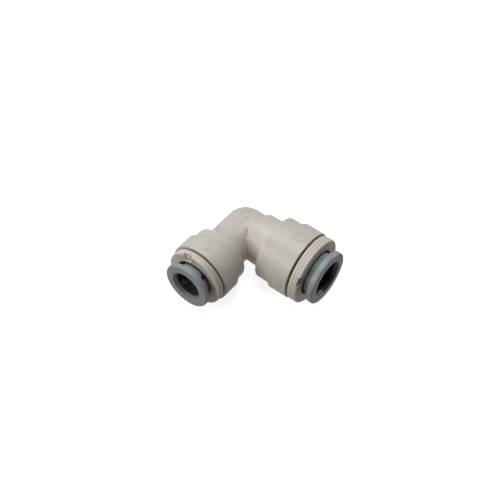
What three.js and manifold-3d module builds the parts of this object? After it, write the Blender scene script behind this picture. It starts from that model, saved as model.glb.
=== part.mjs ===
// Push-to-connect reducing elbow for plastic tube, 3/8 in by 5/16 in.
// Sizes are millimetres and +Z is up. The axes of the two ports cross at a right angle: the large
// port points along +X and the small one along -Y.

import * as THREE from 'three';
import { mergeVertices } from 'three/addons/utils/BufferGeometryUtils.js';
import Module from 'manifold-3d';

const wasm = await Module();
wasm.setup();

// ---- Driving dimensions ---------------------------------------------------------------------

const SIDES = 48;          // flats round every turned piece
const RING_SIDES = 12;     // flats round the section of an O-ring
const ELBOW_RADIUS = 6.35; // outside of both arms, and of the ball at the corner
const CUT = 1;             // how far a cutting solid runs past the face that it opens

// Stations are distances along the port's own axis from the crossing of the two axes. The
// collet's stations hold for the collet drawn fully out, and `pushedIn` is how far in it rests.
const LARGE_PORT = {
  name: 'large',
  turn: 0,
  flowRadius: 3.4,
  socket: { radius: 4.9, stop: 6.0 },
  waist: { station: 4.42, radius: 7.2, endRadius: 7.35 },
  band: { station: 10.5, radius: 9.45, endRadius: 9.45 },
  barrel: { station: 15.28, radius: 10.2, endRadius: 10.15, end: 21.2 },
  seal: { back: 12.0, front: 15.2, recessRadius: 7.15, holeRadius: 4.55, section: 2.5 },
  chamberRadius: 8.75,
  cap: {
    back: 15.6, spigotRadius: 8.6, chamberRadius: 7.75, taperStart: 19.0, taperEnd: 22.4,
    mouthRadius: 6.75, flangeBack: 21.75, flangeRadius: 9.9, shoulder: 24.15,
    face: 24.5, faceRadius: 9.55, gate: { angle: 155, radius: 7.2 },
  },
  collet: {
    back: 17.7, headRadius: 7.55, headEnd: 19.0, neckStart: 22.7, neckRadius: 6.2,
    boreRadius: 4.9, mouthRadius: 5.3, flangeBack: 26.5, flangeRadius: 7.95, face: 28.35,
    fingers: 6, slotEnd: 23.8, pushedIn: 0,
  },
  tooth: { station: 18.9, tipRadius: 4.5, rootRadius: 6.3, width: 2.4 },
};

const SMALL_PORT = {
  name: 'small',
  turn: -Math.PI / 2,
  flowRadius: 3.0,
  socket: { radius: 4.1, stop: 6.5 },
  waist: null,
  band: { station: 11.1, radius: 8.35, endRadius: 8.35 },
  barrel: { station: 14.95, radius: 9.25, endRadius: 9.2, end: 20.35 },
  seal: { back: 11.5, front: 14.2, recessRadius: 6.15, holeRadius: 3.8, section: 2.25 },
  chamberRadius: 7.8,
  cap: {
    back: 14.6, spigotRadius: 7.65, chamberRadius: 6.75, taperStart: 17.6, taperEnd: 20.9,
    mouthRadius: 5.8, flangeBack: 20.85, flangeRadius: 8.65, shoulder: 22.4,
    face: 22.75, faceRadius: 8.3, gate: { angle: 106, radius: 6.4 },
  },
  collet: {
    back: 16.9, headRadius: 6.55, headEnd: 17.6, neckStart: 21.1, neckRadius: 5.2,
    boreRadius: 4.1, mouthRadius: 4.65, flangeBack: 25.35, flangeRadius: 7.1, face: 26.8,
    fingers: 4, slotEnd: 24.25, pushedIn: 0.6,
  },
  tooth: { station: 17.7, tipRadius: 3.72, rootRadius: 5.3, width: 2.4 },
};

const EDGE = 0.3;                // chamfer on the outside edges of the body
const COLLET_EDGE = 0.35;        // chamfer on the collet's flange
const LEAD_IN = 1.1;             // depth of the flared mouth of a collet
const CAP_LEAD_IN = { depth: 0.2, width: 0.2 };  // chamfer at the mouth of a cap
const SLOT_WIDTH = 1.5;          // between two fingers of a collet
const TOOTH_THICKNESS = 0.4;
const TOOTH_CLEARANCE = 0.3;     // round a tooth in its pocket
const GATE_RECESS = { width: 2.6, depth: 0.5 };  // in the cap's face, round its gate

// ---- Tools ----------------------------------------------------------------------------------

const radians = THREE.MathUtils.degToRad;

// A closed three.js geometry as a solid that can be cut and joined.
function solidOf(geometry) {
  const bare = geometry.clone();
  bare.deleteAttribute('normal');
  bare.deleteAttribute('uv');
  const welded = mergeVertices(bare, 1e-4);
  const corners = welded.index.array;
  const triVerts = [];
  for (let i = 0; i < corners.length; i += 3) {
    const [a, b, c] = [corners[i], corners[i + 1], corners[i + 2]];
    if (a !== b && b !== c && c !== a) {
      triVerts.push(a, b, c);
    }
  }
  return new wasm.Manifold(new wasm.Mesh({
    numProp: 3,
    vertProperties: welded.attributes.position.array,
    triVerts: new Uint32Array(triVerts),
  }));
}

// A solid as a three.js geometry.
function geometryOf(solid) {
  const { vertProperties, triVerts } = solid.getMesh();
  const geometry = new THREE.BufferGeometry();
  geometry.setAttribute('position', new THREE.BufferAttribute(vertProperties, 3));
  geometry.setIndex(new THREE.BufferAttribute(triVerts, 1));
  return geometry;
}

// A turned solid on the X axis, from its [station, radius] outline. The outline runs forward
// along the outside and back along the bore or the axis, and it closes on itself.
function turned(outline) {
  const closed = [...outline, outline[0]];
  const points = closed.map(([station, radius]) => new THREE.Vector2(radius, station));
  const geometry = new THREE.LatheGeometry(points, SIDES);
  return solidOf(geometry.rotateZ(-Math.PI / 2));
}

// A box from its corners on the port's axis (X), across it (Y) and out from it (Z), turned
// round the axis by an angle in degrees.
function blockAt(angle, [x0, x1], width, [z0, z1]) {
  const geometry = new THREE.BoxGeometry(x1 - x0, width, z1 - z0);
  geometry.translate((x0 + x1) / 2, 0, (z0 + z1) / 2);
  return solidOf(geometry.rotateX(radians(angle)));
}

// ---- Elbow body -----------------------------------------------------------------------------

// The outside of one arm: plain tube, an optional waist, the band and the barrel.
function armOutside({ waist, band, barrel }) {
  const steps = [waist, band, barrel].filter(Boolean);
  const outline = [[0, 0], [0, ELBOW_RADIUS]];
  let radius = ELBOW_RADIUS;
  for (const step of steps) {
    outline.push([step.station, radius]);
    outline.push([step.station, step.radius - EDGE]);
    outline.push([step.station + EDGE, step.radius]);
    radius = step.endRadius;
  }
  outline.push([barrel.end - EDGE, radius]);
  outline.push([barrel.end, radius - EDGE]);
  outline.push([barrel.end, 0]);
  return turned(outline);
}

// The space inside one arm: flow bore, tube socket, O-ring recess and the chamber for the cap.
function armInside({ flowRadius, socket, seal, chamberRadius, barrel }) {
  return turned([
    [0, 0], [0, flowRadius],
    [socket.stop, flowRadius], [socket.stop, socket.radius],
    [seal.back, socket.radius], [seal.back, seal.recessRadius],
    [seal.front, seal.recessRadius], [seal.front, chamberRadius],
    [barrel.end + CUT, chamberRadius], [barrel.end + CUT, 0],
  ]);
}

function ball(radius) {
  return solidOf(new THREE.SphereGeometry(radius, SIDES, SIDES / 2));
}

function elbowBody() {
  const turnedBy = (solid, port) => solid.rotate([0, 0, THREE.MathUtils.radToDeg(port.turn)]);
  const ports = [LARGE_PORT, SMALL_PORT];
  let outside = ball(ELBOW_RADIUS);
  let inside = ball(LARGE_PORT.flowRadius);
  for (const port of ports) {
    outside = outside.add(turnedBy(armOutside(port), port));
    inside = inside.add(turnedBy(armInside(port), port));
  }
  return geometryOf(outside.subtract(inside));
}

// ---- Pieces of a port, on the X axis --------------------------------------------------------

// The end cap: a spigot in the barrel's chamber and a flange over the barrel's end. Its bore
// narrows towards the mouth, and squeezes the collet's fingers as the tube pulls them out.
function cap({ cap: c }) {
  const ring = turned([
    [c.back, c.spigotRadius], [c.flangeBack, c.spigotRadius],
    [c.flangeBack, c.flangeRadius], [c.shoulder, c.flangeRadius],
    [c.face, c.faceRadius], [c.face, c.mouthRadius + CAP_LEAD_IN.width],
    [c.face - CAP_LEAD_IN.depth, c.mouthRadius],
    [c.taperEnd, c.mouthRadius], [c.taperStart, c.chamberRadius],
    [c.back, c.chamberRadius],
  ]);
  const recess = blockAt(c.gate.angle - 90, [c.face - GATE_RECESS.depth, c.face + CUT],
    GATE_RECESS.width, [c.gate.radius, c.flangeRadius + CUT]);
  return geometryOf(ring.subtract(recess));
}

function oRing({ seal }) {
  const radius = seal.section / 2;
  const geometry = new THREE.TorusGeometry(seal.holeRadius + radius, radius, RING_SIDES, SIDES);
  geometry.rotateY(Math.PI / 2);
  geometry.translate((seal.back + seal.front) / 2, 0, 0);
  return geometryOf(solidOf(geometry));
}

// Angle of a finger's middle round the port's axis, in degrees.
function fingerAngle({ collet }, index) {
  return index * 360 / collet.fingers;
}

// The collet: a flange to press, a neck through the cap's mouth, and spring fingers with thick
// wedge-shaped heads. Each head has a pocket for its tooth.
function collet(port) {
  const { collet: c, tooth } = port;
  let solid = turned([
    [c.back, c.headRadius], [c.headEnd, c.headRadius],
    [c.neckStart, c.neckRadius], [c.flangeBack, c.neckRadius],
    [c.flangeBack, c.flangeRadius - COLLET_EDGE], [c.flangeBack + COLLET_EDGE, c.flangeRadius],
    [c.face - COLLET_EDGE, c.flangeRadius], [c.face, c.flangeRadius - COLLET_EDGE],
    [c.face, c.mouthRadius], [c.face - LEAD_IN, c.boreRadius], [c.back, c.boreRadius],
  ]);
  const halfPocket = TOOTH_THICKNESS / 2 + TOOTH_CLEARANCE;
  const toothStation = tooth.station + c.pushedIn;
  for (let i = 0; i < c.fingers; i += 1) {
    const angle = fingerAngle(port, i);
    solid = solid.subtract(blockAt(angle + 180 / c.fingers, [c.back - CUT, c.slotEnd],
      SLOT_WIDTH, [0, c.headRadius + CUT]));
    solid = solid.subtract(blockAt(angle, [toothStation - halfPocket, toothStation + halfPocket],
      tooth.width + 2 * TOOTH_CLEARANCE, [0, tooth.rootRadius + TOOTH_CLEARANCE]));
  }
  return geometryOf(solid.translate([-c.pushedIn, 0, 0]));
}

// One stainless grab tooth, standing in its pocket with its edge inside the tube's radius.
function grabTooth(port, index) {
  const { station, tipRadius, rootRadius, width } = port.tooth;
  const half = TOOTH_THICKNESS / 2;
  return geometryOf(blockAt(fingerAngle(port, index), [station - half, station + half], width,
    [tipRadius, rootRadius]));
}

// ---- Materials ------------------------------------------------------------------------------

const bodyAcetal = new THREE.MeshStandardMaterial({ color: 0xc4bfb8, roughness: 0.5 });
const capAcetal = new THREE.MeshStandardMaterial({ color: 0xccc8c0, roughness: 0.45 });
const colletAcetal = new THREE.MeshStandardMaterial({ color: 0x5f6a70, roughness: 0.45 });
const sealRubber = new THREE.MeshStandardMaterial({ color: 0x161616, roughness: 0.6 });
const stainless = new THREE.MeshStandardMaterial({
  color: 0xb9bbbd,
  roughness: 0.3,
  metalness: 1,
});

// ---- Assembly -------------------------------------------------------------------------------

function named(name, geometry, material) {
  const mesh = new THREE.Mesh(geometry, material);
  mesh.name = name;
  return mesh;
}

function portPieces(port) {
  const group = new THREE.Group();
  group.rotation.z = port.turn;
  group.add(named(`${port.name}_cap`, cap(port), capAcetal));
  group.add(named(`${port.name}_o_ring`, oRing(port), sealRubber));
  group.add(named(`${port.name}_collet`, collet(port), colletAcetal));
  for (let i = 0; i < port.collet.fingers; i += 1) {
    group.add(named(`${port.name}_tooth_${i + 1}`, grabTooth(port, i), stainless));
  }
  return group;
}

const fitting = new THREE.Group();
fitting.add(named('elbow_body', elbowBody(), bodyAcetal));
fitting.add(portPieces(LARGE_PORT));
fitting.add(portPieces(SMALL_PORT));

// The part stands on the large barrel, with its origin under the middle of its box.
const restingFace = ({ collet: c }) => c.face - c.pushedIn;
fitting.position.set(
  (SMALL_PORT.barrel.radius - restingFace(LARGE_PORT)) / 2,
  (restingFace(SMALL_PORT) - LARGE_PORT.barrel.radius) / 2,
  LARGE_PORT.barrel.radius,
);

export default fitting;
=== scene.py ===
"""Push-to-connect reducing elbow: the finished pieces, built round the packed frame.

The large port points along +X and the small port along -Y. Every piece of a port is turned about
that port's axis, in stations measured outwards from the crossing of the two axes.
"""

import math

import bmesh
import bpy
from bpy.props import FloatProperty, FloatVectorProperty, IntProperty, PointerProperty
from bpy.types import Operator, Panel, PropertyGroup
from mathutils import Matrix, Vector


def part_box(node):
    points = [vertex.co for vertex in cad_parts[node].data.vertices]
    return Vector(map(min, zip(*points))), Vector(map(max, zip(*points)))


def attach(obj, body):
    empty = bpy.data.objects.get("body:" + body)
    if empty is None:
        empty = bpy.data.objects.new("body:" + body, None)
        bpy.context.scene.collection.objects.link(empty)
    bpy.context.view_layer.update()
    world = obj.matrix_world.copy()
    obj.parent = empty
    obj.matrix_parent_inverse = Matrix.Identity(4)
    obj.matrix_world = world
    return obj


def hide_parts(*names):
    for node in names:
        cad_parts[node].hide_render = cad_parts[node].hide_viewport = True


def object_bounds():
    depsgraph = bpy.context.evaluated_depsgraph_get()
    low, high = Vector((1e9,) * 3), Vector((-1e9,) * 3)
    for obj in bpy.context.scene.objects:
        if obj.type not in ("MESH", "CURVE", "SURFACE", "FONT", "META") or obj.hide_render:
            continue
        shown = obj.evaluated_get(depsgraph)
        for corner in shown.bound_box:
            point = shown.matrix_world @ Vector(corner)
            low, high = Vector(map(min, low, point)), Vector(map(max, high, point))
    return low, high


bl_info = {
    "name": "Push-to-connect elbow",
    "version": (1, 0, 0),
    "blender": (4, 5, 0),
    "location": "3D View > Sidebar > Fitting",
    "description": "Builds a push-to-connect reducing elbow round its packed CAD frame",
    "category": "Object",
}

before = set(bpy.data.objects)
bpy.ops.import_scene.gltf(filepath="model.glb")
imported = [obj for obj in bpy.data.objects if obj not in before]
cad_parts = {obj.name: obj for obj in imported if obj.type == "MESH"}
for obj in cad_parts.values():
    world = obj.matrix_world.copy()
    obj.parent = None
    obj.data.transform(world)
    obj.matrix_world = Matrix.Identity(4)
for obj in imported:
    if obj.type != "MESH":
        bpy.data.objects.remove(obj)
CAD_BOX = [list(corner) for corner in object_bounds()]

MM = 0.001
SEGMENTS = 240            # flats round a turned piece
ARC_STEP = math.radians(15)
SUPPORT = 0.06            # loop beside a rounded edge that keeps the face next to it flat, in mm
SHARP = math.radians(33)
CUT = 1.0                 # how far a cutter runs past the face that it opens, in mm
PAINTED_SHADE_TONE = 0.2          # how dark the painted shade is, as a share of the plastic's own colour
PAINTED_SHADE_FADE = 1.2           # how far into a bore the painted shade comes to its full strength, in bore radii
NECK_PAINTED_SHADE = 0.7           # painted shade on a collet's neck, as a share of the painted shade in the gap round the cap
NECK_REACH = 0.3          # how far the painted shade on a neck runs out of the cap, in mm


# ---- Sizes and colours ----------------------------------------------------------------------


def length(label, description, millimetres):
    return FloatProperty(
        name=label,
        description=description,
        default=millimetres * MM,
        unit="LENGTH",
        precision=5,
    )


def colour(label, description, value):
    return FloatVectorProperty(
        name=label, description=description, default=value, subtype="COLOR", size=3,
        min=0.0, max=1.0,
    )


def amount(label, description, value):
    return FloatProperty(name=label, description=description, default=value, subtype="FACTOR")


def angle(label, description, degrees):
    return FloatProperty(
        name=label, description=description, default=math.radians(degrees), subtype="ANGLE"
    )


# attribute, label, description, large port, small port; all in millimetres. A waist radius of 0
# leaves the waist out.
PORT_LENGTHS = (
    ("flow_radius", "Flow bore", "Radius of the passage behind the tube's stop", 3.4, 3.0),
    ("stop", "Tube stop", "Station of the step that the tube's end meets", 6.0, 6.5),
    ("socket_radius", "Socket", "Radius of the socket that guides the tube", 4.9, 4.1),
    ("waist_station", "Waist station", "Where the arm's waist starts", 4.42, 0.0),
    ("waist_radius", "Waist", "Radius of the waist at its start", 7.2, 0.0),
    ("waist_end_radius", "Waist end", "Radius of the waist at the band", 7.35, 0.0),
    ("band_station", "Band station", "Where the band starts", 10.5, 11.1),
    ("band_radius", "Band", "Radius of the band", 9.45, 8.35),
    ("barrel_station", "Barrel station", "Where the barrel starts", 15.28, 14.95),
    ("barrel_mouth", "Barrel mouth", "Radius of the barrel at its open end", 10.15, 9.2),
    ("seal_back", "Seal back", "Station of the bottom of the O-ring's recess", 12.0, 11.5),
    ("seal_front", "Seal front", "Station of the mouth of the O-ring's recess", 15.2, 14.2),
    ("seal_radius", "Seal recess", "Radius of the O-ring's recess", 7.15, 6.15),
    ("chamber_radius", "Chamber", "Radius of the chamber that takes the cap", 8.75, 7.8),
    ("spigot_radius", "Cap spigot", "Radius of the cap's spigot", 8.6, 7.65),
    ("cap_chamber", "Cap chamber", "Bore of the cap round the collet's heads", 7.75, 6.75),
    ("taper_start", "Taper start", "Station where the cap's bore starts to narrow", 19.0, 17.6),
    ("taper_end", "Taper end", "Station where the cap's bore stops narrowing", 22.4, 20.9),
    ("cap_mouth", "Cap mouth", "Radius of the cap's mouth", 6.75, 5.8),
    ("cap_flange_back", "Cap flange", "Station of the back of the cap's flange", 21.75, 20.85),
    ("cap_face_radius", "Cap face", "Radius of the flat front face of the cap", 9.6, 8.35),
    ("cap_shoulder", "Cap shoulder", "Height of the rounded shoulder of the cap", 0.3, 0.3),
    ("gate_radius", "Gate recess", "Radius of the inner end of the gate's recess", 7.2, 6.4),
    ("gate_stub", "Gate stub", "Distance from the axis to the stub left by the gate", 8.2, 7.55),
    ("pin_station", "Pin mark", "Station of the ejector pin's mark on the barrel", 18.2, 17.5),
    ("head_length", "Head", "Length of the heads of the collet's fingers", 1.3, 0.7),
    ("head_taper", "Head taper", "Length of the wedge behind the heads", 3.7, 3.5),
    ("head_radius", "Head radius", "Radius over the heads of the fingers", 7.55, 6.55),
    ("neck_radius", "Neck", "Radius of the collet's neck", 6.2, 5.2),
    ("collet_bore", "Collet bore", "Bore of the collet", 4.9, 4.1),
    ("collet_mouth", "Collet mouth", "Radius of the flared mouth of the collet", 5.5, 4.65),
    ("flange_thickness", "Flange", "Thickness of the collet's flange", 1.85, 1.45),
    ("slot_depth", "Slot start", "Distance from the collet's face to its slots", 4.55, 2.55),
)


def port_sizes(class_name, document, column, first_finger, fingers, gate, film, gap_film):
    fields = {f[0]: length(f[1], f[2], f[column]) for f in PORT_LENGTHS}
    fields["first_finger"] = angle(
        "First finger", "Angle of the first finger, from straight up", first_finger
    )
    fields["fingers"] = IntProperty(
        name="Fingers", description="Fingers and teeth of the collet", default=fingers, min=2
    )
    fields["gate"] = angle("Gate", "Angle of the cap's gate, from straight up", gate)
    # The next two amounts are painted shade: they darken the colour in the collet's bore and in the
    # gaps round the cap, where shade falls.
    fields["film"] = amount("Bore painted shade", "Dark film of grease at the mouth of the bore", film)
    fields["gap_film"] = amount("Gap painted shade", "Dark film in the gaps round the cap", gap_film)
    return type(class_name, (PropertyGroup,), {"__doc__": document, "__annotations__": fields})


# The last two numbers of each port are its painted shade in the collet's bore and in the gaps round
# the cap.
LargePortSizes = port_sizes("LargePortSizes", "Sizes of the large port.", 3, 0, 6, 65, 0.8, 1.0)
SmallPortSizes = port_sizes("SmallPortSizes", "Sizes of the small port.", 4, 0, 4, 15, 0.1, 0.65)


class EdgeSizes(PropertyGroup):
    """Sizes that both ports share."""

    arm_radius: length("Arm", "Radius of the two plain arms and of the corner between them", 6.35)
    step_round: length("Step rounding", "Rounding of the outer edge of each step", 0.3)
    root_round: length("Root rounding", "Rounding at the foot of each step", 0.06)
    mouth_round: length("Mouth rounding", "Rounding of the barrel's open end", 0.25)
    cap_round: length("Cap rounding", "Rounding of the cap's edges", 0.3)
    cap_line: length("Cap line", "Depth of the fine turned lines round a cap", 0.13)
    cap_relief: length("Cap relief", "Depth of the relief behind a cap's flange", 0.35)
    gate_width: length("Gate width", "Width of the recess round a gate, at the rim", 3.0)
    gate_narrow: length("Gate inner width", "Width of the gate's recess at its inner end", 1.75)
    gate_depth: length("Gate depth", "Depth of the recess round a gate", 0.55)
    flange_round: length("Flange rounding", "Rounding of the collet's flange", 0.45)
    slot_width: length("Slot", "Width of the slot between two fingers", 1.5)
    tooth_width: length("Tooth width", "Width of a grab tooth", 2.4)
    tooth_thickness: length("Tooth thickness", "Thickness of a grab tooth's strip", 0.3)
    pin_radius: length("Pin mark", "Radius of the round marks left by the ejector pins", 1.42)
    pin_depth: length("Pin mark depth", "Depth of the ring round a pin mark", 0.14)
    pin_width: length("Pin mark width", "Width of the ring round a pin mark", 0.3)


class FinishColours(PropertyGroup):
    """Colours and roughness of the materials."""

    body: colour("Body", "Grey acetal of the elbow", (0.638, 0.596, 0.556))
    cap: colour("Cap", "Grey acetal of the caps", (0.672, 0.626, 0.569))
    collet: colour("Collet", "Blue-grey acetal of the collets", (0.318, 0.352, 0.366))
    seal: colour("Seal", "Black nitrile rubber", (0.012, 0.012, 0.013))
    steel: colour("Steel", "Stainless strip of the teeth", (0.62, 0.61, 0.59))
    floor: colour("Floor", "Pale floor", (0.9, 0.9, 0.9))
    mottle: amount("Mottling", "How much the acetal's grey varies", 0.045)


class StageSizes(PropertyGroup):
    """Camera and lights."""

    azimuth: angle("Azimuth", "Direction of the camera round the fitting", 35.192)
    elevation: angle("Elevation", "Height of the camera above the horizon", 51.09)
    roll: angle("Roll", "Turn of the camera about its own axis", 3.015)
    distance: length("Distance", "From the crossing of the axes to the camera", 229.564)
    pan_right: length("Pan right", "Move of the camera to its right", 1.286)
    pan_up: length("Pan up", "Move of the camera upwards", -5.98)
    lens: FloatProperty(name="Lens", description="Focal length", default=57.92, unit="CAMERA")
    lamp_size: length("Lamp size", "Width of each round lamp", 250)
    lamp_distance: length("Lamp distance", "From the crossing of the axes to each lamp", 500)
    lamp_power: FloatProperty(
        name="Lamp power", description="Power of the lamp overhead", default=0.81, unit="POWER"
    )
    table_glow: FloatProperty(
        name="Table glow", description="Light thrown up by the white table", default=0.4
    )
    floor_glow: FloatProperty(
        name="Floor glow", description="Light added to the floor as the camera sees it",
        default=0.75,
    )


# ---- Ports ----------------------------------------------------------------------------------


def crossing():
    """The point where the two ports' axes cross, from the frame."""
    large_low, large_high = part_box("large_cap")
    small_low, small_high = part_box("small_cap")
    middle = (Vector(large_low) + Vector(large_high)) / 2
    return Vector(((small_low[0] + small_high[0]) / 2, middle.y, middle.z))


class Port:
    """A port: its sizes in millimetres, and its turn from its own axes to the fitting's.

    Its own axes are the station along X, across it along Y and up along Z.
    """

    def __init__(self, name, turn):
        sizes = getattr(bpy.context.scene, f"{name}_port_sizes")
        self.name = name
        self.body = f"{name}_release"
        self.turn = Matrix.Rotation(turn, 4, "Z")
        for field in PORT_LENGTHS:
            setattr(self, field[0], getattr(sizes, field[0]) / MM)
        self.fingers = sizes.fingers
        self.first_finger = sizes.first_finger
        self.gate = sizes.gate
        self.film = sizes.film
        self.gap_film = sizes.gap_film

        low, high = self.box("elbow_body")
        self.barrel_end = high.x
        self.barrel_radius = min(-low.y, high.y)
        low, high = self.box(f"{name}_cap")
        self.cap_back, self.cap_face, self.cap_radius = low.x, high.x, high.z
        low, high = self.box(f"{name}_collet")
        self.collet_back, self.collet_face, self.flange_radius = low.x, high.x, high.z
        low, high = self.box(f"{name}_tooth_1")
        self.tooth_station, self.tooth_tip, self.tooth_root = (low.x + high.x) / 2, low.z, high.z
        low, high = self.box(f"{name}_o_ring")
        self.ring_station, self.ring_outside = (low.x + high.x) / 2, high.z
        self.ring_section = (high.x - low.x) / 2

    def box(self, node):
        """A node's lowest and highest corners on the port's own axes, in millimetres."""
        back = self.turn.inverted() @ placing().inverted()
        a, b = (back @ Vector(corner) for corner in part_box(node))
        return Vector(map(min, a, b)), Vector(map(max, a, b))


def placing():
    """From millimetres about the crossing to metres in the frame."""
    return Matrix.Translation(crossing()) @ Matrix.Scale(MM, 4)


def both_ports():
    return Port("large", 0.0), Port("small", -math.pi / 2)


def edges():
    """The shared sizes, in millimetres."""
    sizes = bpy.context.scene.edge_sizes
    return {name: getattr(sizes, name) / MM for name in EdgeSizes.__annotations__}


# ---- Shaping --------------------------------------------------------------------------------


def rounded(corners):
    """The points of a closed outline from its corners, each (station, radius, rounding)."""
    points = []
    count = len(corners)
    for i, (station, radius, rounding) in enumerate(corners):
        here = Vector((station, radius))
        to_last = Vector(corners[i - 1][:2]) - here
        to_next = Vector(corners[(i + 1) % count][:2]) - here
        if rounding <= 0:
            points.append(here)
            continue
        half = to_last.angle(to_next) / 2
        reach = rounding / math.tan(half)
        centre = here + (to_last.normalized() + to_next.normalized()).normalized() * (
            rounding / math.sin(half)
        )
        start = here + to_last.normalized() * reach
        end = here + to_next.normalized() * reach
        sweep = math.pi - 2 * half
        steps = max(2, math.ceil(sweep / ARC_STEP))
        turn = math.copysign(sweep, (start - centre).cross(end - centre))
        if to_last.length > reach + 3 * SUPPORT:
            points.append(start + to_last.normalized() * SUPPORT)
        for step in range(steps + 1):
            spoke = (start - centre).copy()
            spoke.rotate(Matrix.Rotation(turn * step / steps, 2))
            points.append(centre + spoke)
        if to_next.length > reach + 3 * SUPPORT:
            points.append(end + to_next.normalized() * SUPPORT)
    return points


def object_of(name, bm):
    bmesh.ops.recalc_face_normals(bm, faces=bm.faces)
    mesh = bpy.data.meshes.new(name)
    bm.to_mesh(mesh)
    bm.free()
    piece = bpy.data.objects.new(name, mesh)
    bpy.context.scene.collection.objects.link(piece)
    return piece


def turned(name, outline, segments=SEGMENTS):
    """A solid turned about the X axis from the points of a closed outline."""
    bm = bmesh.new()
    rings = []
    for station, radius in outline:
        if radius < 1e-6:
            rings.append([bm.verts.new((station, 0, 0))] * segments)
            continue
        turns = (math.tau * k / segments for k in range(segments))
        rings.append(
            [bm.verts.new((station, radius * math.cos(t), radius * math.sin(t))) for t in turns]
        )
    for here, after in zip(rings, rings[1:] + rings[:1]):
        for k in range(segments):
            following = (k + 1) % segments
            corners = dict.fromkeys((here[k], after[k], after[following], here[following]))
            if len(corners) > 2:
                bm.faces.new(corners)
    return object_of(name, bm)


def prism(name, outline, low, high):
    """A solid whose outline lies across the X axis, as (across, up), from low to high along X."""
    bm = bmesh.new()
    ends = [[bm.verts.new((x, across, up)) for across, up in outline] for x in (low, high)]
    bm.faces.new(ends[0])
    bm.faces.new(ends[1])
    for k in range(len(outline)):
        bm.faces.new((ends[0][k - 1], ends[0][k], ends[1][k], ends[1][k - 1]))
    return object_of(name, bm)


def ball(name, radius, rows=SEGMENTS // 2):
    bm = bmesh.new()
    bmesh.ops.create_uvsphere(bm, u_segments=2 * rows, v_segments=rows, radius=radius)
    return object_of(name, bm)


def moved(piece, matrix):
    piece.data.transform(matrix)
    return piece


def frozen(piece):
    """The piece with its modifiers made part of its mesh."""
    shaped = piece.evaluated_get(bpy.context.evaluated_depsgraph_get())
    mesh = bpy.data.meshes.new_from_object(shaped)
    old = piece.data
    piece.modifiers.clear()
    piece.data = mesh
    bpy.data.meshes.remove(old)
    return piece


def combined(piece, others, operation):
    """The piece joined with, cut by or kept inside the others, which are used up."""
    for other in others:
        modifier = piece.modifiers.new(operation.title(), "BOOLEAN")
        modifier.operation = operation
        modifier.solver = "EXACT"
        modifier.object = other
    frozen(piece)
    for other in others:
        mesh = other.data
        bpy.data.objects.remove(other)
        bpy.data.meshes.remove(mesh)
    return piece


def sheltered(piece, rule):
    """Marks how deep inside the fitting each face lies, from 0 to 1, for the finish to read.

    The rule is given the face's port, its station and its distance from its port's axis, or from
    the crossing when the face is behind it.
    """
    large, small = both_ports()
    depths = []
    for face in piece.data.polygons:
        port = large if face.center.x > -face.center.y else small
        station = max(face.center.x, -face.center.y, 0.0)
        radius = math.sqrt(max(0.0, face.center.length_squared - station * station))
        depths.append(float(rule(port, station, radius)))
    piece.data.attributes.new("shelter", "FLOAT", "FACE").data.foreach_set("value", depths)
    return piece


def finished(piece, material, slot, body, *nodes):
    """Puts a shaped piece in its place in the frame, with its finish."""
    moved(piece, placing())
    bm = bmesh.new()
    bm.from_mesh(piece.data)
    bmesh.ops.dissolve_degenerate(bm, edges=bm.edges, dist=1e-7)
    bm.to_mesh(piece.data)
    bm.free()
    piece.data.shade_smooth()
    piece.data.set_sharp_from_angle(angle=SHARP)
    piece.data.materials.clear()
    piece.data.materials.append(material)
    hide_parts(*nodes)
    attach(piece, body)
    return piece


# ---- Geometry nodes -------------------------------------------------------------------------


class NodeSheet:
    """A node tree being written: its nodes are added by type, settings and inputs."""

    def __init__(self, tree):
        self.tree = tree

    def add(self, kind, settings=None, inputs=None):
        """A node of a type, with its settings made first, then its sockets' values or links."""
        node = self.tree.nodes.new(kind)
        for name, value in (settings or {}).items():
            if name == "stops":
                self.set_stops(node.color_ramp.elements, value)
            else:
                setattr(node, name, value)
        for key, value in (inputs or {}).items():
            self.feed(node.inputs[key], value)
        return node

    @staticmethod
    def set_stops(elements, stops):
        while len(elements) < len(stops):
            elements.new(1.0)
        for element, (position, shade) in zip(elements, stops):
            element.position = position
            element.color = (*shade, 1.0)

    def feed(self, socket, value):
        if isinstance(value, Shade):
            value = value.socket
        if isinstance(value, bpy.types.NodeSocket):
            self.tree.links.new(value, socket)
        else:
            socket.default_value = value


def geometry_tree(name, inputs):
    """An empty geometry tree with named inputs, its sheet and its input node."""
    tree = bpy.data.node_groups.new(name, "GeometryNodeTree")
    for label, kind in inputs:
        tree.interface.new_socket(label, in_out="INPUT", socket_type=kind)
    tree.interface.new_socket("Geometry", in_out="OUTPUT", socket_type="NodeSocketGeometry")
    sheet = NodeSheet(tree)
    return sheet, sheet.add("NodeGroupInput")


def end_tree(sheet, geometry, material):
    """Ends a geometry tree in Realize Instances and Set Material."""
    real = sheet.add("GeometryNodeRealizeInstances", inputs={"Geometry": geometry})
    coated = sheet.add(
        "GeometryNodeSetMaterial",
        inputs={"Geometry": real.outputs["Geometry"], "Material": material},
    )
    sheet.add("NodeGroupOutput", inputs={"Geometry": coated.outputs["Geometry"]})
    return sheet.tree


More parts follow.
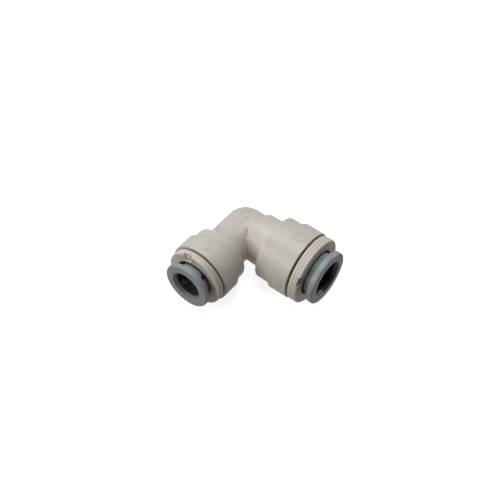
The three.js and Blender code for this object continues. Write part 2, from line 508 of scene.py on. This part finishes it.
def round_the_port_tree():
    """Copies a shape evenly round the X axis."""
    sheet, given = geometry_tree(
        "Round the Port",
        (
            ("Geometry", "NodeSocketGeometry"),
            ("Copies", "NodeSocketInt"),
            ("First Angle", "NodeSocketFloat"),
            ("Material", "NodeSocketMaterial"),
        ),
    )
    points = sheet.add("GeometryNodePoints", inputs={"Count": given.outputs["Copies"]})
    step = sheet.add(
        "ShaderNodeMath", {"operation": "DIVIDE"}, {0: math.tau, 1: given.outputs["Copies"]}
    )
    turn = sheet.add(
        "ShaderNodeMath",
        {"operation": "MULTIPLY_ADD"},
        {
            0: sheet.add("GeometryNodeInputIndex").outputs[0],
            1: step.outputs[0],
            2: given.outputs["First Angle"],
        },
    )
    rotation = sheet.add("ShaderNodeCombineXYZ", inputs={"X": turn.outputs[0]})
    copies = sheet.add(
        "GeometryNodeInstanceOnPoints",
        inputs={
            "Points": points.outputs[0],
            "Instance": given.outputs["Geometry"],
            "Rotation": rotation.outputs[0],
        },
    )
    return end_tree(sheet, copies.outputs["Instances"], given.outputs["Material"])


def rubber_ring_tree():
    """A ring of round section about the X axis."""
    sheet, given = geometry_tree(
        "Rubber Ring",
        (
            ("Ring Radius", "NodeSocketFloat"),
            ("Section Radius", "NodeSocketFloat"),
            ("Station", "NodeSocketFloat"),
            ("Material", "NodeSocketMaterial"),
        ),
    )
    ring = sheet.add(
        "GeometryNodeCurvePrimitiveCircle",
        inputs={"Resolution": SEGMENTS, "Radius": given.outputs["Ring Radius"]},
    )
    section = sheet.add(
        "GeometryNodeCurvePrimitiveCircle",
        inputs={"Resolution": 32, "Radius": given.outputs["Section Radius"]},
    )
    solid = sheet.add(
        "GeometryNodeCurveToMesh",
        inputs={"Curve": ring.outputs["Curve"], "Profile Curve": section.outputs["Curve"]},
    )
    place = sheet.add("ShaderNodeCombineXYZ", inputs={"X": given.outputs["Station"]})
    stood = sheet.add(
        "GeometryNodeTransform",
        inputs={
            "Geometry": solid.outputs["Mesh"],
            "Translation": place.outputs[0],
            "Rotation": (0.0, math.pi / 2, 0.0),
        },
    )
    return end_tree(sheet, stood.outputs["Geometry"], given.outputs["Material"])


def grown(piece, tree, values):
    """The piece with a geometry tree's result as its plain mesh."""
    modifier = piece.modifiers.new(tree.name, "NODES")
    modifier.node_group = tree
    for socket in tree.interface.items_tree:
        if socket.in_out == "INPUT" and socket.name in values:
            modifier[socket.identifier] = values[socket.name]
    return frozen(piece)


def round_the_port(piece, port, first_angle, material=None):
    tree = bpy.data.node_groups.get("Round the Port") or round_the_port_tree()
    values = {"Copies": port.fingers, "First Angle": first_angle}
    if material:
        values["Material"] = material
    return grown(piece, tree, values)


# ---- Materials ------------------------------------------------------------------------------


class Shade:
    """A shader socket that carries a number and can stand in a sum."""

    def __init__(self, sheet, socket):
        self.sheet = sheet
        self.socket = socket

    def math(self, operation, *others, swapped=False):
        values = [self, *others]
        if swapped:
            values.reverse()
        node = self.sheet.add(
            "ShaderNodeMath", {"operation": operation}, dict(enumerate(values))
        )
        return Shade(self.sheet, node.outputs[0])

    def __add__(self, other):
        return self.math("ADD", other)

    __radd__ = __add__

    def __sub__(self, other):
        return self.math("SUBTRACT", other)

    def __rsub__(self, other):
        return self.math("SUBTRACT", other, swapped=True)

    def __mul__(self, other):
        return self.math("MULTIPLY", other)

    def __abs__(self):
        return self.math("ABSOLUTE")

    def below(self, limit, softness):
        """1 where the value is under the limit and 0 over it, with a soft edge."""
        node = self.sheet.add(
            "ShaderNodeMapRange",
            {"interpolation_type": "SMOOTHSTEP"},
            {0: self, 1: limit - softness, 2: limit + softness, 3: 1.0, 4: 0.0},
        )
        return Shade(self.sheet, node.outputs[0])


class Finish(NodeSheet):
    """A material on the Principled shader, with patterns in millimetres about the crossing."""

    def __init__(self, name):
        self.material = bpy.data.materials.new(name)
        self.material.use_nodes = True
        super().__init__(self.material.node_tree)
        self.shader = self.tree.nodes["Principled BSDF"]
        place = self.add("ShaderNodeTexCoord").outputs["Object"]
        self.place = self.add(
            "ShaderNodeMapping",
            {"vector_type": "TEXTURE"},
            {"Vector": place, "Location": crossing(), "Scale": (MM, MM, MM)},
        ).outputs[0]
        parts = self.add("ShaderNodeSeparateXYZ", inputs={0: self.place})
        self.z = Shade(self, parts.outputs[2])

    def noise(self, size, detail=3.0, roughness=0.5, stretch=None):
        """Even noise from 0 to 1, with features of about a size in millimetres."""
        vector = self.place
        if stretch:
            vector = self.add(
                "ShaderNodeMapping", inputs={"Vector": vector, "Scale": stretch}
            ).outputs[0]
        node = self.add(
            "ShaderNodeTexNoise",
            inputs={
                "Vector": vector, "Scale": 1 / size, "Detail": detail, "Roughness": roughness,
            },
        )
        return Shade(self, node.outputs["Fac"])

    def blend(self, mask, first, second):
        """A colour that goes from the first to the second as the mask goes from 0 to 1."""
        node = self.add("ShaderNodeMix", {"data_type": "RGBA"}, {0: mask, 6: first, 7: second})
        return node.outputs[2]

    def bump(self, height, depth, normal=None):
        """A normal from a height of 0 to 1, with a depth in millimetres."""
        inputs = {"Height": height, "Distance": depth * MM, "Strength": 1.0}
        if normal:
            inputs["Normal"] = normal
        return self.add("ShaderNodeBump", inputs=inputs).outputs[0]

    def coat(self, **values):
        """Sets the shader's own sockets, or links what varies over the surface."""
        names = {
            "base": "Base Color", "roughness": "Roughness", "metallic": "Metallic",
            "normal": "Normal", "specular": "Specular IOR Level", "ior": "IOR",
            "emission": "Emission Color", "emission_strength": "Emission Strength",
        }
        for key, value in values.items():
            self.feed(self.shader.inputs[names[key]], value)
        return self.material


def tint(shade, factor):
    """A colour made lighter or darker, as a socket's value."""
    return (*(min(1.0, part * factor) for part in shade), 1.0)


def acetal(name, shade, mottle, roughness, parted):
    """Moulded acetal: faint mottling, fine grain, and a film of grease and dust inside."""
    finish = Finish(name)
    clouds = finish.noise(2.6, detail=4.0, roughness=0.6)
    specks = finish.noise(0.45, detail=2.0)
    mask = clouds * 0.75 + specks * 0.25
    base = finish.blend(
        mask.math("MULTIPLY_ADD", 2.4, -0.7), tint(shade, 1 - mottle), tint(shade, 1 + mottle)
    )
    # Painted shade: each face's shelter amount blends the colour towards a dark tone in the bores
    # and gaps, where shade falls.
    shelter = finish.add("ShaderNodeAttribute", {"attribute_name": "shelter"})
    film = Shade(finish, shelter.outputs[2])
    base = finish.blend(film, base, tint(shade, PAINTED_SHADE_TONE))
    grain = finish.noise(0.09, detail=2.0)
    waves = finish.noise(1.7, detail=2.0)
    normal = finish.bump(grain, 0.004)
    normal = finish.bump(waves, 0.014, normal)
    if parted:
        line = abs(finish.z).below(0.06, 0.04)
        normal = finish.bump(line, 0.03, normal)
    rough = roughness + (clouds - 0.5) * 0.12 + (grain - 0.5) * 0.1
    return finish.coat(base=base, roughness=rough, normal=normal, ior=1.48)


def nitrile(name, shade):
    """Black rubber with a thin film of grease in patches."""
    finish = Finish(name)
    # Patches of grease at random: the rubber's own tone, not painted shade.
    film = finish.noise(1.2, detail=3.0)
    grain = finish.noise(0.06, detail=2.0)
    base = finish.blend(film, tint(shade, 0.8), tint(shade, 1.6))
    return finish.coat(
        base=base, roughness=0.62 - film * 0.35, normal=finish.bump(grain, 0.006)
    )


def stainless(name, shade):
    """Rolled stainless strip with fine lines along the rolling."""
    finish = Finish(name)
    lines = finish.noise(0.05, detail=2.0, stretch=(1.0, 1.0, 0.12))
    stain = finish.noise(0.8)
    base = finish.blend(stain, tint(shade, 0.85), tint(shade, 1.08))
    return finish.coat(
        base=base, metallic=1.0, roughness=0.2 + lines * 0.2,
        normal=finish.bump(lines, 0.004),
    )


def material(slot):
    """The finish for a slot, made the first time that it is asked for."""
    name = f"{slot}_finish"
    if name in bpy.data.materials:
        return bpy.data.materials[name]
    colours = bpy.context.scene.finish_colours
    if slot == "body_acetal":
        return acetal(name, colours.body, colours.mottle, 0.38, parted=True)
    if slot == "cap_acetal":
        return acetal(name, colours.cap, colours.mottle, 0.4, parted=False)
    if slot == "collet_acetal":
        return acetal(name, colours.collet, colours.mottle * 1.5, 0.38, parted=False)
    if slot == "seal_rubber":
        return nitrile(name, colours.seal)
    return stainless(name, colours.steel)


# ---- Pieces ---------------------------------------------------------------------------------


def arm_outside(port, e):
    """Outline of one arm: the plain arm, the waist if it has one, the band and the barrel."""
    step, root = e["step_round"], e["root_round"]
    corners = [(0, 0, 0), (0, e["arm_radius"], 0)]
    radius = e["arm_radius"]
    if port.waist_radius:
        corners += [
            (port.waist_station, radius, root),
            (port.waist_station, port.waist_radius, step),
        ]
        radius = port.waist_end_radius
    corners += [
        (port.band_station, radius, root),
        (port.band_station, port.band_radius, step),
        (port.barrel_station, port.band_radius, root),
        (port.barrel_station, port.barrel_radius, step * 0.75),
        (port.barrel_end, port.barrel_mouth, e["mouth_round"]),
        (port.barrel_end, 0, 0),
    ]
    return rounded(corners)


def pin_rings(ports, e):
    """The thin rings left by the round ejector pins, as a solid that cuts them.

    One pin stood over the corner and one over each barrel. A ring goes as deep into a barrel as
    into the plain corner, so the solid keeps clear of a core that is smaller by that depth.
    """
    inner = e["pin_radius"] - e["pin_width"] / 2
    outer = e["pin_radius"] + e["pin_width"] / 2
    top = ports[0].barrel_radius + CUT
    outline = [(3, inner), (3, outer), (top, outer), (top, inner)]
    places = [Vector((0, 0, 0))]
    places += [port.turn @ Vector((port.pin_station, 0, 0)) for port in ports]
    upright = Matrix.Rotation(-math.pi / 2, 4, "Y")
    pipes = [
        moved(turned("pin", outline, 96), Matrix.Translation(place) @ upright) for place in places
    ]

    def core(port):
        inside = port.barrel_station + 0.2
        arm, barrel = e["arm_radius"] - e["pin_depth"], port.barrel_radius - e["pin_depth"]
        end = port.barrel_end
        return [(0, 0), (0, arm), (inside, arm), (inside, barrel), (end, barrel), (end, 0)]

    cores = both_arms("core", core, e["arm_radius"] - e["pin_depth"])
    return combined(combined(pipes[0], pipes[1:], "UNION"), [cores], "DIFFERENCE")


def arm_inside(port):
    """Outline of the space in one arm: flow bore, socket, seal recess and chamber."""
    mouth = port.barrel_end + CUT
    return rounded(
        [
            (0, 0, 0), (0, port.flow_radius, 0),
            (port.stop, port.flow_radius, 0.1), (port.stop, port.socket_radius, 0.1),
            (port.seal_back, port.socket_radius, 0.2), (port.seal_back, port.seal_radius, 0.15),
            (port.seal_front, port.seal_radius, 0.2), (port.seal_front, port.chamber_radius, 0.15),
            (mouth, port.chamber_radius, 0), (mouth, 0, 0),
        ]
    )


def both_arms(name, outline, corner_radius):
    """A solid of both arms and the ball where they meet."""
    solid = ball(name, corner_radius)
    arms = [moved(turned("arm", outline(port)), port.turn) for port in both_ports()]
    return combined(solid, arms, "UNION")


class ELBOW_OT_body(Operator):
    """Make the elbow body"""

    bl_idname = "elbow.body"
    bl_label = "Elbow Body"

    def execute(self, context):
        e = edges()
        large, small = both_ports()
        body = both_arms("elbow_body_moulding", lambda port: arm_outside(port, e), e["arm_radius"])
        inside = both_arms("inside", arm_inside, max(large.flow_radius, small.flow_radius))
        body = combined(body, [inside, pin_rings((large, small), e)], "DIFFERENCE")

        # Painted shade: the flow bore and socket are darkened fully, and the seal recess and
        # chamber behind the cap by the gap's amount.
        def inside_or_behind_cap(port, station, radius):
            if radius < port.socket_radius + 0.1:
                return 1.0
            in_chamber = station > port.seal_back and radius < port.chamber_radius + 0.1
            return port.gap_film if in_chamber else 0.0

        sheltered(body, inside_or_behind_cap)
        finished(body, material("body_acetal"), "body_acetal", "fitting", "elbow_body")
        return {"FINISHED"}


class ELBOW_OT_caps(Operator):
    """Make the two end caps"""

    bl_idname = "elbow.caps"
    bl_label = "End Caps"

    def execute(self, context):
        for port in both_ports():
            self.make(port, edges())
        return {"FINISHED"}

    def make(self, port, e):
        shoulder = port.cap_face - port.cap_shoulder
        cap = turned(
            f"{port.name}_end_cap",
            rounded(
                [
                    (port.cap_back, port.spigot_radius, 0.2),
                    (port.barrel_end - 0.2, port.spigot_radius, 0.1),
                    (port.barrel_end, port.spigot_radius - e["cap_relief"], 0),
                    (port.cap_flange_back, port.spigot_radius - e["cap_relief"], 0),
                    (port.cap_flange_back, port.cap_radius, 0.12),
                    *self.fine_lines(port, e["cap_line"]),
                    (shoulder, port.cap_radius, e["cap_round"]),
                    (port.cap_face, port.cap_face_radius, e["cap_round"]),
                    (port.cap_face, port.cap_mouth + 0.2, 0.05),
                    (port.cap_face - 0.2, port.cap_mouth, 0.1),
                    (port.taper_end, port.cap_mouth, 0.2),
                    (port.taper_start, port.cap_chamber, 0.2),
                    (port.cap_back, port.cap_chamber, 0.1),
                ]
            ),
        )
        cap = combined(cap, [self.gate_recess(port, e)], "DIFFERENCE")
        cap = combined(cap, [self.gate_stub(port, e)], "UNION")
        moved(cap, port.turn)

        # Painted shade: the cap's mouth and its spigot behind the flange are darkened by the gap's
        # amount.
        def in_mouth_or_behind_flange(port, station, radius):
            behind = (
                station < port.cap_flange_back + 0.02
                and port.cap_chamber + 0.1 < radius < port.cap_radius - 0.2
            )
            return port.gap_film if behind or radius < port.cap_mouth + 0.05 else 0.0

        sheltered(cap, in_mouth_or_behind_flange)
        nodes = f"{port.name}_cap"
        finished(cap, material("cap_acetal"), "cap_acetal", "fitting", nodes)

    @staticmethod
    def fine_lines(port, depth):
        """Corners of the two fine lines turned round the cap's flange."""
        width = port.cap_face - port.cap_flange_back
        corners = []
        for part in (0.34, 0.64):
            middle = port.cap_flange_back + part * width
            corners += [
                (middle - depth, port.cap_radius, 0),
                (middle, port.cap_radius - depth, 0),
                (middle + depth, port.cap_radius, 0),
            ]
        return corners

    @staticmethod
    def gate_recess(port, e):
        """The shallow recess round the gate, which narrows inwards and cuts the cap's rim."""
        inner, outer = e["gate_narrow"] / 2, e["gate_width"] / 2
        low, rim = port.gate_radius, port.cap_radius
        outer += (outer - inner) / (rim - low) * CUT
        outline = [(-inner, low), (inner, low), (outer, rim + CUT), (-outer, rim + CUT)]
        recess = prism("recess", outline, port.cap_face - e["gate_depth"], port.cap_face + CUT)
        return moved(recess, Matrix.Rotation(port.gate, 4, "X"))

    @staticmethod
    def gate_stub(port, e):
        """The stub that is left where the gate broke off."""
        floor = port.cap_face - e["gate_depth"]
        outline = [
            (floor - 0.2, 0), (floor - 0.2, 0.46), (floor + 0.12, 0.44), (floor + 0.3, 0.36),
            (floor + 0.38, 0.22), (floor + 0.33, 0),
        ]
        stub = moved(turned("stub", outline, 32), Matrix.Translation((0, 0, port.gate_stub)))
        return moved(stub, Matrix.Rotation(port.gate, 4, "X"))


class ELBOW_OT_seals(Operator):
    """Make the two O-rings"""

    bl_idname = "elbow.seals"
    bl_label = "O-rings"

    def execute(self, context):
        rubber = material("seal_rubber")
        tree = rubber_ring_tree()
        for port in both_ports():
            seal = bpy.data.objects.new(f"{port.name}_seal", bpy.data.meshes.new("seal"))
            context.scene.collection.objects.link(seal)
            values = {
                "Ring Radius": port.ring_outside - port.ring_section,
                "Section Radius": port.ring_section,
                "Station": port.ring_station,
                "Material": rubber,
            }
            moved(grown(seal, tree, values), port.turn)
            finished(seal, rubber, "seal_rubber", "fitting", f"{port.name}_o_ring")
        return {"FINISHED"}


class ELBOW_OT_collets(Operator):
    """Make the two collets"""

    bl_idname = "elbow.collets"
    bl_label = "Collets"

    def execute(self, context):
        for port in both_ports():
            self.make(port, edges())
        return {"FINISHED"}

    def make(self, port, e):
        flange_back = port.collet_face - port.flange_thickness
        head_end = port.collet_back + port.head_length
        outline = rounded(
            [
                (port.collet_back, port.head_radius, 0.3),
                (head_end, port.head_radius, 0.2),
                (head_end + port.head_taper, port.neck_radius, 0.3),
                # This loop marks where the painted shade on the neck ends.
                (port.cap_face + NECK_REACH, port.neck_radius, 0),
                (flange_back, port.neck_radius, 0.15),
                (flange_back, port.flange_radius, 0.3),
                (port.collet_face, port.flange_radius, e["flange_round"]),
                (port.collet_face, port.collet_mouth, 0.12),
                (port.collet_face - 1.1, port.collet_bore, 0.3),
                (port.collet_back, port.collet_bore, 0.2),
            ]
        )
        collet = turned(f"{port.name}_release_collet", outline)
        half, top = e["slot_width"] / 2, port.head_radius + CUT
        slot = prism(
            "slot",
            [(-half, 0), (half, 0), (half, top), (-half, top)],
            port.collet_back - CUT,
            port.collet_face - port.slot_depth,
        )
        between = port.first_finger + math.pi / port.fingers
        slots = round_the_port(slot, port, between)
        half, top = e["tooth_width"] / 2 + 0.05, port.tooth_root + 0.05
        pocket = prism(
            "pocket",
            [(-half, 0), (half, 0), (half, top), (-half, top)],
            port.tooth_station - 0.3,
            port.tooth_station + 0.2,
        )
        pockets = round_the_port(pocket, port, port.first_finger)
        combined(collet, [slots, pockets], "DIFFERENCE")
        moved(collet, port.turn)

        # Painted shade: the bore darkens from its mouth inwards, and the neck close to the cap by a
        # share of the gap's amount.
        def in_bore_or_cap(port, station, radius):
            if radius < port.collet_mouth - 0.05:
                depth = (port.collet_face - station) / (port.collet_bore * PAINTED_SHADE_FADE)
                return min(1.0, port.film + depth)
            on_neck = station < port.cap_face + NECK_REACH
            return port.gap_film * NECK_PAINTED_SHADE if on_neck else 0.0

        sheltered(collet, in_bore_or_cap)
        grey = material("collet_acetal")
        finished(collet, grey, "collet_acetal", port.body, f"{port.name}_collet")


class ELBOW_OT_teeth(Operator):
    """Make the grab teeth of both collets"""

    bl_idname = "elbow.teeth"
    bl_label = "Grab Teeth"

    def execute(self, context):
        for port in both_ports():
            self.make(port, edges())
        return {"FINISHED"}

    def make(self, port, e):
        half = e["tooth_thickness"] / 2
        station, lean = port.tooth_station, 0.5
        bend = port.tooth_tip + 0.75
        side = [
            (station - half, port.tooth_root), (station + half, port.tooth_root),
            (station + half, bend), (station + half - lean, port.tooth_tip),
            (station - half - lean * 0.55, port.tooth_tip + 0.32), (station - half, bend + 0.1),
        ]
        width = e["tooth_width"] / 2
        bm = bmesh.new()
        ends = [[bm.verts.new((x, across, up)) for x, up in side] for across in (-width, width)]
        bm.faces.new(ends[0])
        bm.faces.new(ends[1])
        for k in range(len(side)):
            bm.faces.new((ends[0][k - 1], ends[0][k], ends[1][k], ends[1][k - 1]))
        bmesh.ops.bevel(bm, geom=bm.edges, offset=0.03, segments=2, affect="EDGES", profile=0.5)
        tooth = object_of(f"{port.name}_grab_teeth", bm)
        steel = material("stainless")
        moved(round_the_port(tooth, port, port.first_finger, steel), port.turn)
        nodes = [f"{port.name}_tooth_{k + 1}" for k in range(port.fingers)]
        finished(tooth, steel, "stainless", port.body, *nodes)


# ---- Stage ----------------------------------------------------------------------------------


# Lamp, direction round the fitting and height above the horizon in degrees, and its power as a
# share of the overhead lamp's
LAMPS = (
    ("overhead", 0, 90, 1.0),
    ("left", 270, 55, 1.29),
    ("front", 335, 27, 1.05),
    ("back", 165, 20, 0.92),
)


def direction(azimuth, elevation):
    """The unit vector towards a place round the fitting; azimuth 0 is in front of it."""
    flat = math.cos(elevation)
    return Vector(
        (math.sin(azimuth) * flat, -math.cos(azimuth) * flat, math.sin(elevation))
    )


def round_lamp(name, power, width, place, towards):
    light = bpy.data.lights.new(name, "AREA")
    light.shape = "DISK"
    light.energy = power
    light.size = width
    lamp = bpy.data.objects.new(name, light)
    lamp.location = place
    lamp.rotation_euler = (-towards).to_track_quat("Z", "Y").to_euler()
    bpy.context.scene.collection.objects.link(lamp)


class ELBOW_OT_stage(Operator):
    """Set the floor, lights and camera"""

    bl_idname = "elbow.stage"
    bl_label = "Stage"

    def execute(self, context):
        scene = context.scene
        sizes = scene.stage_sizes
        centre = crossing()
        self.floor(scene.finish_colours.floor, sizes.floor_glow)
        self.camera(sizes, centre)
        self.table_glow(sizes.table_glow)
        for name, azimuth, elevation, share in LAMPS:
            out = direction(math.radians(azimuth), math.radians(elevation))
            place = centre + out * sizes.lamp_distance
            round_lamp(name, sizes.lamp_power * share, sizes.lamp_size, place, -out)
        scene.view_settings.view_transform = "Standard"
        return {"FINISHED"}

    @staticmethod
    def table_glow(strength):
        """A world that lights from below the horizon only, and looks white from everywhere."""
        world = bpy.data.worlds.new("White table")
        world.use_nodes = True
        sheet = NodeSheet(world.node_tree)
        way = sheet.add("ShaderNodeTexCoord").outputs["Generated"]
        height = sheet.add("ShaderNodeSeparateXYZ", inputs={0: way}).outputs[2]
        below = sheet.add(
            "ShaderNodeMapRange", inputs={0: height, 1: -0.02, 2: 0.02, 3: strength, 4: 0.0}
        )
        background = world.node_tree.nodes["Background"]
        sheet.feed(background.inputs["Color"], (1.0, 0.96, 0.91, 1.0))
        seen = sheet.add("ShaderNodeLightPath").outputs["Is Camera Ray"]
        strength = sheet.add(
            "ShaderNodeMath", {"operation": "MAXIMUM"}, {0: below.outputs[0], 1: seen}
        )
        sheet.feed(background.inputs["Strength"], strength.outputs[0])
        bpy.context.scene.world = world

    @staticmethod
    def floor(shade, glow):
        """A pale floor, lit a little more for the camera; the world stands in for its bounce."""
        bm = bmesh.new()
        bmesh.ops.create_grid(bm, x_segments=1, y_segments=1, size=3.0)
        floor = object_of("floor", bm)
        finish = Finish("pale_floor")
        haze = finish.noise(60.0)
        base = finish.blend(haze, tint(shade, 0.995), tint(shade, 1.005))
        finish.coat(base=base, roughness=0.9, specular=0.2)
        finish.coat(emission=(1.0, 1.0, 1.0, 1.0), emission_strength=glow)
        floor.data.materials.append(finish.material)
        floor.visible_diffuse = False
        floor.visible_glossy = False
        moved(floor, Matrix.Translation((0, 0, CAD_BOX[0][2])))

    @staticmethod
    def camera(sizes, centre):
        back = direction(sizes.azimuth, sizes.elevation)
        level = Vector((math.cos(sizes.azimuth), math.sin(sizes.azimuth), 0))
        upright = back.cross(level)
        right = level * math.cos(sizes.roll) + upright * math.sin(sizes.roll)
        up = upright * math.cos(sizes.roll) - level * math.sin(sizes.roll)
        data = bpy.data.cameras.new("camera")
        data.lens = sizes.lens
        data.sensor_width = 36.0
        data.clip_start = 0.01
        camera = bpy.data.objects.new("camera", data)
        bpy.context.scene.collection.objects.link(camera)
        turn = Matrix((right, up, back)).transposed().to_4x4()
        place = centre + back * sizes.distance + right * sizes.pan_right + up * sizes.pan_up
        camera.matrix_world = Matrix.Translation(place) @ turn
        bpy.context.scene.camera = camera


class ELBOW_PT_panel(Panel):
    """Sizes, colours and pieces of the fitting"""

    bl_idname = "ELBOW_PT_panel"
    bl_label = "Push-to-connect Elbow"
    bl_space_type = "VIEW_3D"
    bl_region_type = "UI"
    bl_category = "Fitting"

    def draw(self, context):
        for operator in OPERATORS:
            self.layout.operator(operator.bl_idname)
        for name, group in GROUPS.items():
            box = self.layout.box()
            box.label(text=name.replace("_", " ").title())
            for field in group.__annotations__:
                box.prop(getattr(context.scene, name), field)


OPERATORS = (
    ELBOW_OT_body, ELBOW_OT_caps, ELBOW_OT_seals, ELBOW_OT_collets, ELBOW_OT_teeth,
    ELBOW_OT_stage,
)
GROUPS = {
    "large_port_sizes": LargePortSizes,
    "small_port_sizes": SmallPortSizes,
    "edge_sizes": EdgeSizes,
    "finish_colours": FinishColours,
    "stage_sizes": StageSizes,
}


def register():
    for group in GROUPS.values():
        bpy.utils.register_class(group)
    for name, group in GROUPS.items():
        setattr(bpy.types.Scene, name, PointerProperty(type=group))
    for operator in OPERATORS:
        bpy.utils.register_class(operator)
    bpy.utils.register_class(ELBOW_PT_panel)


def unregister():
    bpy.utils.unregister_class(ELBOW_PT_panel)
    for operator in reversed(OPERATORS):
        bpy.utils.unregister_class(operator)
    for name, group in GROUPS.items():
        delattr(bpy.types.Scene, name)
        bpy.utils.unregister_class(group)


def main():
    register()
    bpy.ops.elbow.body()
    bpy.ops.elbow.caps()
    bpy.ops.elbow.seals()
    bpy.ops.elbow.collets()
    bpy.ops.elbow.teeth()
    bpy.ops.elbow.stage()


if __name__ == "__main__":
    main()
